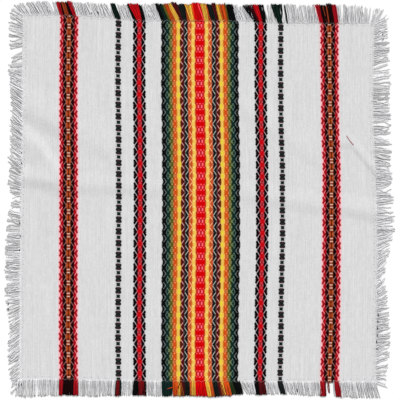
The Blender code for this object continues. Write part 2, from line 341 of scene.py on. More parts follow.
# %% The dye list
LIGHT_LEVEL = 1.1
DYES = {
    "white": (221, 221, 222), "bleached": (216, 214, 216), "blush": (251, 198, 203), "red": (216, 0, 4),
    "red_edge": (150, 60, 14), "yellow": (240, 200, 90), "straw": (240, 196, 92), "amber": (214, 132, 36),
    "rust": (202, 84, 32), "bark": (66, 34, 18), "bottle": (20, 27, 25), "maroon": (82, 12, 18),
    "umber_edge": (97, 26, 2), "orange": (212, 80, 22), "tan": (150, 78, 26), "olive": (88, 86, 24),
    "moss": (39, 54, 27), "teal": (14, 42, 38), "black": (7, 7, 8), "umber": (78, 12, 0),
    "chain": (154, 60, 27), "brown": (66, 26, 18), "soot": (24, 0, 2), "wine": (62, 4, 10),
    "rose": (170, 13, 28), "cherry": (198, 6, 18), "garnet": (112, 12, 20), "plum": (46, 2, 6),
    "coal": (6, 4, 6), "claret": (122, 12, 20), "gold": (236, 182, 66), "fringe_white": (240, 239, 241),
    "thread": (44, 38, 40), "needle": (162, 160, 162), "stray_red": (186, 84, 92), "fir": (26, 34, 33),
    "fir_green": (8, 30, 24), "red_low": (186, 20, 32), "red_dot": (255, 86, 96),
    "pink_dash": (255, 122, 134), "red_glow": (236, 104, 46), "orange_glow": (240, 146, 72),
    "amber_glow": (252, 184, 78), "red_deep": (194, 32, 14), "butter": (252, 210, 116),
    "apricot": (248, 176, 94), "honey": (228, 148, 66), "peach": (255, 190, 148),
    "dusty_rose": (184, 106, 88), "grey_line": (180, 184, 177), "slate": (84, 78, 80),
    "rose_line": (222, 164, 158), "mauve": (100, 82, 84), "brass": (176, 122, 54),
    "brass_glow": (208, 168, 76), "lemon": (234, 212, 60), "orange_dot": (255, 150, 98),
    "orange_low": (200, 102, 48), "sand": (194, 124, 74), "flax": (172, 130, 80),
    "olive_low": (132, 90, 34), "olive_dot": (182, 174, 112), "sage": (124, 126, 80),
    "fern": (106, 126, 88), "teal_dot": (92, 128, 118), "teal_line": (74, 96, 92), "steel": (106, 117, 116),
    "grey_dot": (90, 94, 94), "ash": (150, 150, 151), "chain_glow": (198, 84, 32), "clay": (236, 188, 166),
    "chain_low": (158, 78, 50), "brown_glow": (176, 106, 80), "smoke": (152, 108, 104),
    "salmon": (255, 136, 144), "cherry_dot": (212, 66, 76), "cherry_low": (160, 36, 44),
    "cherry_dust": (186, 84, 94), "mist": (196, 184, 188), "fir_wine": (60, 38, 44),
    "fir_mist": (196, 190, 192),
}


def linear(shade):
    """A colour value of 0 to 255 as the amount of light it stands for."""
    share = shade / 255
    if share <= 0.04045:
        return share / 12.92
    return ((share + 0.055) / 1.055) ** 2.4


def dye(name):
    """The surface colour that looks like this dye in the scene's light."""
    return [linear(shade) / LIGHT_LEVEL for shade in DYES[name]] + [1.0]


print(len(DYES), "dyes; the white field reflects", round(dye("white")[0], 2))

# %% [markdown]
# ## The weaving plan
#
# The figures come from a treadling that rises and falls: from the top row, at height 1, down to the
# bottom row, at height -1, and back, once every 11.6 mm. A stripe is the same on both sides of its axis,
# so its chart runs from the axis outwards, in mm. First come the warp yarns, each with how far out it
# reaches. Then come the ties, the short lines in which another colour shows: a colour, where the line
# starts and ends, how far it reaches above and below, its height, and its last height where it slants.

# %% Charts of the stripes
Chart = namedtuple("Chart", "yarns ties")
Tie = namedtuple("Tie", "colour start end half height last_height", defaults=[None])
CENTRE = Chart([
    ("red", 4.0), ("red_edge", 5.0), ("yellow", 8.5), ("rust", 12.0), ("bark", 12.5), ("bottle", 16.0),
    ("maroon", 18.5), ("umber_edge", 20.0), ("straw", 23.0), ("amber", 24.0), ("orange", 27.0),
    ("tan", 28.0), ("olive", 30.5), ("moss", 31.5), ("teal", 34.5), ("black", 39.0), ("bleached", 39.5),
], [
    ("red_low", 0, 1, 0.6, 1), ("red_dot", 0, 1, 0.22, 0), ("pink_dash", 1, 2, 0.52, 1),
    ("red_dot", 2, 2.5, 0.5, 1), ("red_low", 2.5, 4, 0.6, 1), ("red_dot", 2.5, 3.5, 0.22, 0),
    ("red_glow", 4, 4.5, 0.7, 1), ("orange_glow", 4.5, 5, 0.75, 1), ("red_deep", 4, 5, 0.55, -1),
    ("butter", 5.5, 8, 0.3, 0.05), ("orange_glow", 5, 5.5, 1.15, -1), ("apricot", 5.5, 6, 0.9, -1),
    ("honey", 7.5, 8.5, 0.6, 1), ("apricot", 8, 9, 0.5, -1), ("peach", 9, 11.5, 0.2, -0.65, 0.5),
    ("dusty_rose", 11, 12, 0.45, 1), ("dusty_rose", 12, 12.5, 0.25, 1), ("dusty_rose", 12, 12.5, 0.5, -1),
    ("grey_line", 12.5, 15.5, 0.21, -0.85, 0.67), ("slate", 15, 16, 0.3, 1),
    ("mauve", 15.5, 16.5, 0.35, -1), ("mauve", 16.5, 17, 0.3, -0.7, -0.45),
    ("rose_line", 17, 19.5, 0.21, -0.45, 0.75), ("brass", 19, 19.5, 0.5, 1),
    ("brass_glow", 19.5, 20, 0.85, 1), ("brass", 20, 20.5, 0.9, -1), ("lemon", 20, 22.5, 0.75, 1),
    ("amber_glow", 23, 24, 0.8, 1), ("orange_low", 24, 26, 0.6, 1), ("orange_dot", 25, 26, 0.25, 0),
    ("sand", 26, 27.5, 0.55, 1), ("sand", 27, 28, 0.5, -1), ("flax", 28, 28.5, 0.75, -1),
    ("olive_low", 27.5, 28, 0.5, 1), ("olive_dot", 28.5, 29.5, 0.24, 0), ("sage", 29, 30.5, 0.4, -0.35, -1),
    ("fern", 30.5, 31, 0.35, -1), ("fern", 30, 31.5, 0.45, 1), ("fern", 31, 32.5, 0.25, 0.95, 0.35),
    ("teal_dot", 32.5, 33.5, 0.23, 0), ("teal_line", 33.5, 35, 0.3, 0.3, 1.1),
    ("steel", 34.5, 36, 0.23, -1.05, -0.45), ("grey_dot", 36, 37.5, 0.22, -0.2, 0.1),
    ("ash", 38, 38.5, 0.4, -1), ("bleached", 38.5, 39, 0.82, -1), ("grey_dot", 38.5, 39, 0.35, 1),
    ("ash", 39, 39.5, 0.3, 0.6),
])
SIDE = Chart([
    ("umber", 0.5), ("chain", 2.0), ("brown", 2.5), ("soot", 4.5), ("wine", 6.0), ("rose", 9.0),
    ("blush", 10.0),
], [
    ("chain_glow", 0.5, 1.5, 0.42, 1), ("brown", 1.5, 2, 0.65, -0.75), ("clay", 0, 1.5, 0.17, -0.47),
    ("chain_low", 0, 1.5, 0.28, -1), ("brown_glow", 2, 2.5, 0.75, 1), ("smoke", 2.5, 5, 0.17, 0.7, -0.6),
    ("rose", 5, 5.5, 0.68, -1), ("rose", 5.5, 6, 1.1, -1), ("salmon", 6, 8.5, 0.2, 0.5, -0.9),
    ("blush", 8, 8.5, 0.3, -1), ("blush", 8.5, 9, 0.75, -1), ("salmon", 8.5, 9, 0.35, 1),
    ("rose", 9, 9.5, 0.2, 0.15),
])
CROSS = Chart([
    ("cherry", 1.5), ("garnet", 2.0), ("plum", 3.0), ("coal", 6.0), ("bleached", 6.5),
], [
    ("cherry_dot", 0, 1, 0.28, -0.1), ("cherry_low", 0, 1, 0.4, -1), ("cherry", 1.5, 2, 0.5, 0.9),
    ("cherry_dust", 1, 2, 0.42, -1), ("cherry_dust", 2, 3, 0.24, 0.9, 0.55),
    ("mist", 3, 5.5, 0.17, 0.5, -0.9), ("coal", 2, 3, 0.6, -1), ("bleached", 5.5, 6, 0.65, -1),
    ("ash", 6, 6.5, 0.28, 1), ("coal", 6, 6.5, 0.3, 0.15),
])
DASH = Chart([
    ("fir", 2.0), ("bleached", 3.5),
], [
    ("fir_wine", 0, 1.5, 0.3, 0.2), ("fir_mist", 0, 2, 0.14, -0.29), ("fir_green", 0, 1.5, 0.44, -1),
    ("ash", 1.5, 2, 0.3, -1), ("grey_dot", 2, 2.5, 0.3, 1), ("fir", 2, 2.5, 0.45, 0.4),
    ("fir", 2.5, 3, 0.27, 0.4),
])
Stripe = namedtuple("Stripe", "name chart axis")
STRIPES = [Stripe("pattern_warp_centre", CENTRE, 0.0)]
for name, chart, axis in (("side", SIDE, 131.0), ("cross", CROSS, 61.0), ("dash", DASH, 81.5)):
    STRIPES.append(Stripe(f"pattern_warp_{name}_left", chart, -axis))
    STRIPES.append(Stripe(f"pattern_warp_{name}_right", chart, axis))
COLUMN = 0.5
Column = namedtuple("Column", "yarn ties")


def columns_of(stripe):
    """The columns of a stripe from left to right, each half a millimetre wide, with their ties."""
    right, left = [], []
    for number in range(round(stripe.chart.yarns[-1][1] / COLUMN)):
        place = (number + 0.5) * COLUMN
        yarn = next(name for name, reach in stripe.chart.yarns if place < reach)
        over = []
        for tie in (Tie(*row) for row in stripe.chart.ties):
            if tie.start < place < tie.end:
                rise = 0.0 if tie.last_height is None else tie.last_height - tie.height
                slope = rise / (tie.end - tie.start)
                height = tie.height + slope * (place - tie.start)
                over.append((tie.colour, height, tie.half, slope * COLUMN))
        right.append(Column(yarn, over))
        left.append(Column(yarn, [(*tie, -lean) for *tie, lean in over]))
    return left[::-1] + right


def span_of(stripe):
    """The warp places of a stripe's two sides, in mm."""
    half_width = stripe.chart.yarns[-1][1]
    return stripe.axis - half_width, stripe.axis + half_width


SPANS = sorted(map(span_of, STRIPES))
for stripe in STRIPES:
    most = max(len(column.ties) for column in columns_of(stripe))
    print(stripe.name, "has", len(columns_of(stripe)), "columns, with up to", most, "ties in one")

# %% [markdown]
# ## The beat of the weft
#
# The figure rows are nearly level across the cloth: the weaver beat one side a little harder, and the
# middle fold takes up some length. So the figure count at a place is an even count plus a small lead,
# read from a table for the left, middle and right. The narrow stripes between them run a little ahead,
# by a table of their own.

# %% Figure count
FIGURES = 31.3
FIGURE_LENGTH = 11.6
FIRST_COUNT = 32.8
LEAD = [  # share of the way up, lead at the left, middle and right
    (0.0, -0.14, -0.08, 0.02), (0.2, -0.01, 0.02, 0.04), (0.45, 0.13, 0.11, 0.10),
    (0.5, 0.13, 0.11, 0.04), (0.55, 0.05, 0.02, -0.01), (0.7, 0.0, 0.0, -0.05), (1.0, -0.01, -0.03, -0.06),
]
LEAD_SIDE = 131.0
LEAD_REACH = 1.3
BOW = [  # mm from the middle, lead added at the left and at the right
    (40.0, 0.0, 0.0), (61.0, 0.03, 0.065), (82.0, 0.01, 0.065), (110.0, 0.0, 0.0),
]
SOFTNESS = 0.07


def figure_count(warp, up):
    """How many figures down the cloth a place is. Whole numbers are the T rows."""
    left, middle, right = (read_table(LEAD, up, column) for column in (1, 2, 3))
    off = np.abs(warp)
    share = np.clip(off / LEAD_SIDE, 0, LEAD_REACH)
    side = np.where(warp < 0, left, right)
    bow = np.where(warp < 0, read_table(BOW, off, 1), read_table(BOW, off, 2))
    return FIRST_COUNT + between(middle, side, share) + bow - FIGURES * up


def climb_of(count):
    """The treadling height, from -1 at the bottom rows to 1 at the top rows."""
    return 4 * np.abs(count % 1.0 - 0.5) - 1


print("figures in the middle:", round(float(figure_count(0, 0) - figure_count(0, 1)), 2))

# %% [markdown]
# ## One closed strip of weaving
#
# Ground and stripes are both thin closed strips with a finely divided top and a plainer underside, made
# by one function so that their edges stay in line. The side walls join a few top points to two below.

# %% Strips of cloth
def wall_faces(top_line, under_line, marks, outward_first):
    """Walls between a line of top points and the plainer line of points under it."""
    faces = []
    for low, high, start, end in zip(under_line, under_line[1:], marks, marks[1:]):
        above = [int(point) for point in top_line[start:end + 1]]
        if outward_first:
            faces.append([int(low), int(high), *reversed(above)])
        else:
            faces.append([int(high), int(low), *above])
    return faces


def quads(ids, flip=False):
    """The quads of a grid of point numbers."""
    corners = [ids[:-1, :-1], ids[:-1, 1:], ids[1:, 1:], ids[1:, :-1]]
    if flip:
        corners.reverse()
    return np.stack(corners, axis=-1).reshape(-1, 4)


def add_attribute(mesh, name, kind, domain, values):
    layer = mesh.attributes.new(name, kind, domain)
    field = "color" if kind == "FLOAT_COLOR" else "vector"
    layer.data.foreach_set(field, np.asarray(values, np.float32).ravel())


def new_object(name, data):
    """Puts a mesh, light or camera in the scene."""
    made = bpy.data.objects.new(name, data)
    bpy.context.scene.collection.objects.link(made)
    return made


def new_piece(name, points, faces, bake_map):
    """A mesh object in the scene, with the map that its finish is baked through."""
    mesh = bpy.data.meshes.new(name)
    mesh.from_pydata(points.reshape(-1, 3).tolist(), [], faces)
    layer = mesh.uv_layers.new(name="OFBake")
    layer.data.foreach_set("uv", bake_map.astype(np.float32).ravel())
    return new_object(name, mesh)


TOP_MAP = (0.004, 0.73, 0.02, 0.98)
UNDER_MAP = (0.77, 0.996, 0.02, 0.98)
WALL_MAP = (0.735, 0.765, 0.02, 0.98)
WALL_COLUMNS = 8
WALL_FILL = 0.85
TINY = 1e-9


def wall_map(walls, points):
    """Lays the narrow walls out in the free strip of the map, one small cell for each."""
    left, right, low, high = WALL_MAP
    rows = math.ceil(len(walls) / WALL_COLUMNS)
    cells = []
    for number, face in enumerate(walls):
        row, column = divmod(number, WALL_COLUMNS)
        place = points[face] - points[face[0]]
        along = np.hypot(place[:, 0], place[:, 1])
        height = place[:, 2] - place[:, 2].min()
        cells.append(np.stack([
            between(left, right, (column + WALL_FILL * along / max(along.max(), TINY)) / WALL_COLUMNS),
            between(low, high, (row + WALL_FILL * height / max(height.max(), TINY)) / rows),
        ], -1))
    return np.concatenate(cells)


def strip_of_cloth(name, warps, ups, under_warps, under_ups, heights):
    """Makes a closed strip and returns its object and the warp place of each face.

    warps and ups are the top's grid lines, under_warps and under_ups the numbers of those lines that
    the underside has too, and heights(warp, up, x, y) gives the top and the underside, in mm."""
    warp, up = np.meshgrid(warps, ups)
    x, y = on_cloth(warp, up)
    top, under = heights(warp, up, x, y)
    picked = np.ix_(under_ups, under_warps)

    def both(top_grid, under_grid=None):
        """The values at the top's points and then at the underside's."""
        under_grid = top_grid if under_grid is None else under_grid
        return np.concatenate([top_grid.ravel(), under_grid[picked].ravel()])

    points = to_frame(both(x), both(y), both(top, under))
    top_ids = np.arange(warp.size).reshape(warp.shape)
    under_ids = warp.size + np.arange(warp[picked].size).reshape(warp[picked].shape)
    walls = []
    for line, marks, outward_first in (
        (np.s_[:, 0], under_ups, False), (np.s_[:, -1], under_ups, True),
        (np.s_[0], under_warps, True), (np.s_[-1], under_warps, False),
    ):
        walls += wall_faces(top_ids[line], under_ids[line], marks, outward_first)
    flat_faces = np.concatenate([quads(top_ids), quads(under_ids, flip=True)])

    all_warp = both(warp)
    area = np.repeat([TOP_MAP, UNDER_MAP], [warp.size, all_warp.size - warp.size], axis=0).T
    share = (all_warp - warps[0]) / (warps[-1] - warps[0])
    place = np.stack([between(area[0], area[1], share), between(area[2], area[3], both(up))], -1)
    bake_map = np.concatenate([place[flat_faces.ravel()], wall_map(walls, points)])
    made = new_piece(name, points, flat_faces.tolist() + walls, bake_map)
    count = figure_count(warp, up)
    count = both(count, count + 0.5)
    weave_place = np.stack([all_warp, count, 0 * count], -1)
    add_attribute(made.data, "weave_place", "FLOAT_VECTOR", "POINT", weave_place)
    return made, np.array([all_warp[face].mean() for face in [*flat_faces, *walls]])


# %% [markdown]
# ## The white ground
#
# The ground is plain weave with a slightly heavier yarn in every second place, which draws faint ribs
# along the cloth. The ribs are in the mesh; the single yarns, under a millimetre, are bump. Below each
# stripe only the weft runs through, so the sheet thins there to a core that the stripe wraps.

# %% Ground sheet
CLOTH_HEIGHT = 362.0
GROUND_THICK = 1.05
CORE_THICK = 0.35
STRIPE_THICK = 1.15
CLEAR = 0.02
RIB_PITCH = 2.15
RIB_HEIGHT = 0.12
RIB_STEPS = 3
STEP_IN = 0.15
OPEN_STEP = 3.4
CREASED_STEP = 1.4
CREASED = (0.41, 0.83)
UNDER_EVERY = 6
CORE_EVERY = 2
UNDER_ROWS = 2


def ground_rows():
    """Shares of the way up for the ground's rows, close together where the creases are."""
    rows = [0.0]
    for start, end, step in (
        (0.0, CREASED[0], OPEN_STEP), (*CREASED, CREASED_STEP), (CREASED[1], 1.0, OPEN_STEP),
    ):
        steps = 2 * round((end - start) * CLOTH_HEIGHT / step / 2)
        rows += [start + (end - start) * each / steps for each in range(1, steps + 1)]
    return np.array(rows)


def ground_lines():
    """Warp places of the ground's grid lines, and the numbers of those that matter underneath."""
    stops = [LEFT_HEM]
    for left, right in SPANS:
        stops += [left, left + STEP_IN, right - STEP_IN, right]
    stops.append(RIGHT_HEM)
    lines, kept = [stops[0]], [0]
    for start, end in zip(stops, stops[1:]):
        under_stripe = any(left < (start + end) / 2 < right for left, right in SPANS)
        fine, every = (1, CORE_EVERY) if under_stripe else (RIB_STEPS, UNDER_EVERY)
        steps = max(1, round((end - start) / RIB_PITCH * fine))
        lines += [start + (end - start) * step / steps for step in range(1, steps + 1)]
        first = kept[-1]
        kept += [*range(first + every, first + steps, every), first + steps]
    return np.array(lines), kept


def in_core(warp):
    """True where a stripe wraps the ground."""
    inside = np.zeros(np.shape(warp), bool)
    for left, right in SPANS:
        inside |= (warp > left + STEP_IN / 2) & (warp < right - STEP_IN / 2)
    return inside


def ground_heights(warp, up, x, y):
    """Top and underside of the ground, in mm."""
    base = lift(x, y) + CLEAR
    rib = 0.5 + 0.5 * np.cos(2 * math.pi * warp / RIB_PITCH)
    uneven = 0.7 + 0.3 * np.sin(warp * 1.7) * np.sin(warp * 0.31 + up * 9)
    ribbed = GROUND_THICK + RIB_HEIGHT * (rib * uneven - 0.5)
    core = in_core(warp)
    top = np.where(core, STRIPE_THICK / 2 + CORE_THICK / 2, ribbed)
    under = np.where(core, STRIPE_THICK / 2 - CORE_THICK / 2, 0.0)
    return base + top, base + under


lines, kept = ground_lines()
rows = ground_rows()
under_rows = list(range(0, len(rows), UNDER_ROWS))
cloth, _ = strip_of_cloth("cloth_ground", lines, rows, kept, under_rows, ground_heights)
print("ground:", len(cloth.data.polygons), "faces,", len(lines), "lines across")

# %% [markdown]
# The ground's finish: a soft matt white, with single yarns a little thicker or greyer than their
# neighbours, which is what gives handmade cloth its fine upright streaks.

# %% Ground finish
YARN_PITCH = RIB_PITCH / 2
PICK_PITCH = FIGURE_LENGTH / 10
GROUND_BUMP = 0.00018
STRIPE_BUMP = 0.00012
YARN_BUMP = 0.00008


def ground_finish():
    finish = Finish("woven_cotton_ground", Roughness=0.92, Specular_IOR_Level=0.15)
    warp, count, _ = finish.parts("weave_place")
    up = count * FIGURE_LENGTH
    streaks = finish.noise(warp * 0.9, up * 0.015) - 0.5
    slubs = finish.noise(warp * 0.5, up * 0.13, detail=3.0) - 0.5
    picks = finish.noise(warp * 0.03, up * 0.9) - 0.5
    clouds = finish.noise(warp * 0.05, up * 0.04, detail=1.0) - 0.5
    level = 1.0 + streaks * 0.28 + slubs * 0.22 + picks * 0.06 + clouds * 0.05
    warp_yarn = (warp * (2 * math.pi / YARN_PITCH)).wave()
    weft_yarn = (up * (2 * math.pi / PICK_PITCH)).wave()
    crossing = warp_yarn * weft_yarn * 0.5 + 0.5
    fibres = finish.noise(warp * 1.1, up * 0.5, detail=3.0)
    finish.wear(
        Base_Color=finish.shade(dye("white"), level * (0.845 + crossing * 0.05 + fibres * 0.26)),
        Normal=finish.bump(crossing * 0.6 + fibres * 0.4, GROUND_BUMP),
    )
    return finish.material


cloth.data.materials.append(ground_finish())
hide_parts("cloth")
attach(cloth, "root")

# %% [markdown]
# ## The coloured stripes
#
# Each stripe is a strip like the ground, with two columns of faces for each warp end so that every end
# stands up as a low rib, and twelve rows for each figure so that a tied place really dips. Every face
# carries its yarn's colour and up to three ties with their colours; the shader works out where along the
# column they show. A slanting tie also leans within its column, so that the figures' lines run on.

# %% Stripe meshes
ROWS_A_FIGURE = 12
RIB_CROWN = 0.2
TIE_DIP = 0.16
TIE_NAMES = ("first", "second", "third")
NO_TIE = ("white", 0.0, -1.0, 0.0)


def dipped(ties, climb):
    """How fully any of a column's ties shows at each treadling height."""
    shown = np.zeros(np.shape(climb))
    for _, height, half, _ in ties:
        off = np.abs(climb - height) - half
        shown = np.maximum(shown, 1 - smooth_step((off + SOFTNESS) / (2 * SOFTNESS)))
    return shown


def stripe_mesh(stripe):
    columns = columns_of(stripe)
    left, right = span_of(stripe)

    def heights(warp, up, x, y):
        climb = climb_of(figure_count(warp, up))
        top = np.full(warp.shape, STRIPE_THICK - RIB_CROWN / 2)
        for line in range(1, warp.shape[1], 2):
            beside = sum(dipped(column.ties, climb[:, line]) for column in columns[line - 1:line + 1])
            top[:, line] += RIB_CROWN - TIE_DIP * beside / 2
        base = lift(x, y) + CLEAR
        return base + top, base

    steps = round(FIGURES * ROWS_A_FIGURE / UNDER_ROWS) * UNDER_ROWS
    warps = np.linspace(left, right, len(columns) + 1)
    ups = np.linspace(0, 1, steps + 1)
    under_warps = list(range(0, len(columns) + 1, 2))
    under_ups = list(range(0, steps + 1, UNDER_ROWS))
    made, face_warp = strip_of_cloth(stripe.name, warps, ups, under_warps, under_ups, heights)
    number = np.clip((face_warp - left) / COLUMN, 0, len(columns) - 1).astype(int)
    yarns = np.array([dye(column.yarn) for column in columns])
    add_attribute(made.data, "yarn_colour", "FLOAT_COLOR", "FACE", yarns[number])
    for order, name in enumerate(TIE_NAMES):
        ties = [(column.ties + [NO_TIE] * 3)[order] for column in columns]
        colours = np.array([dye(tie[0]) for tie in ties])
        places = np.array([tie[1:] for tie in ties])
        add_attribute(made.data, name + "_colour", "FLOAT_COLOR", "FACE", colours[number])
        add_attribute(made.data, name + "_tie", "FLOAT_VECTOR", "FACE", places[number])
    return made


# %% Stripe finish
def stripe_finish(stripe):
    """Coloured cotton, with the ties of the weaving plan painted over it."""
    finish = Finish(stripe.name + "_cotton", Roughness=0.9, Specular_IOR_Level=0.05)
    warp, count, _ = finish.parts("weave_place")
    in_column = ((warp - span_of(stripe)[0]) * (1 / COLUMN)).part() - 0.5
    climb = abs(count.part() - 0.5) * 4.0 - 1.0
    woven = finish.attribute("yarn_colour", "Color")
    for name in TIE_NAMES:
        height, half, lean = finish.parts(name + "_tie")
        shown = 1.0 - (abs(climb - lean * in_column - height) - half).ramp(-SOFTNESS, SOFTNESS)
        woven = finish.blend(shown, woven, finish.attribute(name + "_colour", "Color"))
    up = count * FIGURE_LENGTH
    twist = (up * 5.2 + warp * 6.0).wave() * 0.5 + 0.5
    fibres = finish.noise(warp * 2.2, up * 0.5, detail=3.0)
    finish.wear(
        Base_Color=finish.shade(woven, 0.88 + fibres * 0.2 + twist * 0.05),
        Normal=finish.bump(twist * 0.6 + fibres * 0.4, STRIPE_BUMP),
    )
    return finish.material


for stripe in STRIPES:
    made = stripe_mesh(stripe)
    made.data.materials.append(stripe_finish(stripe))
    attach(made, "root")
    print(stripe.name, "has", len(made.data.polygons), "faces")

# %% [markdown]
# ## The fringe
#
# The fringe is what is left of the yarns past the last pick. It has been combed by hand: the yarns lean,
# cling together in locks, and part between them. So each side has a table of place, reach and lean, and
# bare places where yarns are missing.

# %% Combing tables
TOP_COMB = [
    (-178, 10, -10), (-168, 11.5, -8), (-155, 13, -6.5), (-140, 12.5, -4.5), (-85, 13.5, -5.5),
    (-60, 15.5, -4.5), (-35, 15.5, -6.5), (-20, 16, -7.5), (0, 16.5, -3.5), (35, 15, -5), (60, 16.5, -5),
    (80, 17.5, -3.5), (120, 18, -3), (150, 17, -1.5), (166, 15.5, 1), (176, 12.5, 8),
]
BOTTOM_COMB = [
    (-183, 16, -3.5), (-170, 17, -1), (-135, 15, -1), (-100, 15.5, -0.5), (-65, 13.5, -1), (-40, 14, 0),
    (-10, 13.5, 0.5), (5, 14.5, 2), (40, 11.5, 5), (58, 12, 1), (80, 11.5, 2.5), (120, 13.5, 1),
    (150, 15, 2), (176, 15.5, 4.5),
]
LEFT_COMB = [
    (-180, 8.5, -10), (-170, 9.5, -9), (-155, 11.5, -8), (-140, 12.5, -9), (-125, 10.5, -8),
    (-112, 10.5, -6.5), (-104, 12.5, -4.5), (-95, 15, -2), (-70, 15, -1), (-45, 14, -0.5), (-25, 13.5, 2),
    (-12, 12, 2.5), (0, 8.5, 0), (12, 12.5, 3.5), (30, 12, 6), (55, 11.5, 8), (80, 11, 9), (106, 11.5, 9),
    (120, 13, 5), (134, 13, -0.5), (147, 11, -4), (158, 13, -1.5), (168, 14, 3), (178, 13, 5),
    (188, 10.5, 8.5),
]
RIGHT_COMB = [
    (-183, 9, -7), (-170, 11, 1.5), (-150, 13.5, 2.5), (-125, 13.5, 1.5), (-105, 12, 3), (-93, 9.5, 6),
    (-80, 7.5, 7.5), (-64, 11, 8), (-48, 13, 5), (-35, 16.5, 2), (-22, 16.5, -2), (0, 16, 0), (20, 16.5, 0),
    (38, 16.5, -4), (60, 17, -1.5), (90, 17.5, 0.5), (115, 16.5, 2), (135, 16, 3.5), (152, 15.5, 1),
    (166, 14.5, 3), (177, 12.5, 6.5),
]
# A habit's depth runs from the painted shade of the lowest layer of yarns to the top layer, painted
# lighter.
Habit = namedtuple("Habit", "pitch shortest longest waver strays close astray layers depth sway")
# A side's level paints its white yarns lighter or darker as a whole: painted light and shade for how the
# light falls on that side.
Side = namedtuple("Side", "name node slot edge comb bare ends lock_width pull uneven level habit")
SIDES = [
    Side(
        "top", "fringe_top", "warp_yarn", TOP_EDGE, TOP_COMB,
        [(24.2, 24.8), (157.7, 158.3), (169.4, 170.6)], (-177, 177), (2.6, 5.0), 0.04, 0.03, 1.02,
        Habit(0.74, 0.88, 1.04, 0.5, 0.2, 0.5, 2.6, 1.5, (0.55, 1.1), 0.7),
    ),
    Side(
        "bottom", "fringe_bottom", "warp_yarn", BOTTOM_EDGE, BOTTOM_COMB,
        [(126, 133)], (-183, 176), (2.6, 5.0), -0.04, 0.015, 0.96,
        Habit(0.8, 0.93, 1.02, 0.35, 0.14, 0.4, 2.2, 1.5, (0.6, 1.12), 0.4),
    ),
    Side(
        "left", "fringe_left", "weft_yarn", LEFT_EDGE, LEFT_COMB,
        [(-12, -7), (0, 4), (138, 142), (149.5, 153.5)], (-183, 186), (2.2, 4.4), 0.4, 0.05, 1.08,
        Habit(0.95, 0.8, 1.02, 0.8, 0.2, 0.5, 2.8, 1.5, (0.6, 1.14), 1.3),
    ),
    Side(
        "right", "fringe_right", "weft_yarn", RIGHT_EDGE, RIGHT_COMB,
        [
            (55.5, 56.5), (61.5, 62.5), (75, 77), (103.5, 104.5), (108.5, 109.5), (117.3, 118.7),
            (124, 127), (132.3, 133.7),
        ],
        (-182, 178), (2.2, 4.4), 0.35, 0.05, 1.05,
        Habit(0.98, 0.84, 1.02, 0.9, 0.18, 0.5, 2.8, 1.5, (0.6, 1.14), 1.2),
    ),
]


def off_edge(side, along, out):
    """The x and y of a place along a side and so far out from the middle of the cloth."""
    if side == "top":
        return along, out
    if side == "bottom":
        return along, -out
    if side == "left":
        return -out, along
    return out, along


# %% [markdown]
# A lock is a bundle of yarns of one colour. At its root it takes up a stretch of the edge and at its tip
# another, so a lock can lean, fan out or cross its neighbours. The coloured locks are the ends of the
# stripes and are set down one by one; white ones fill the rest of each side.

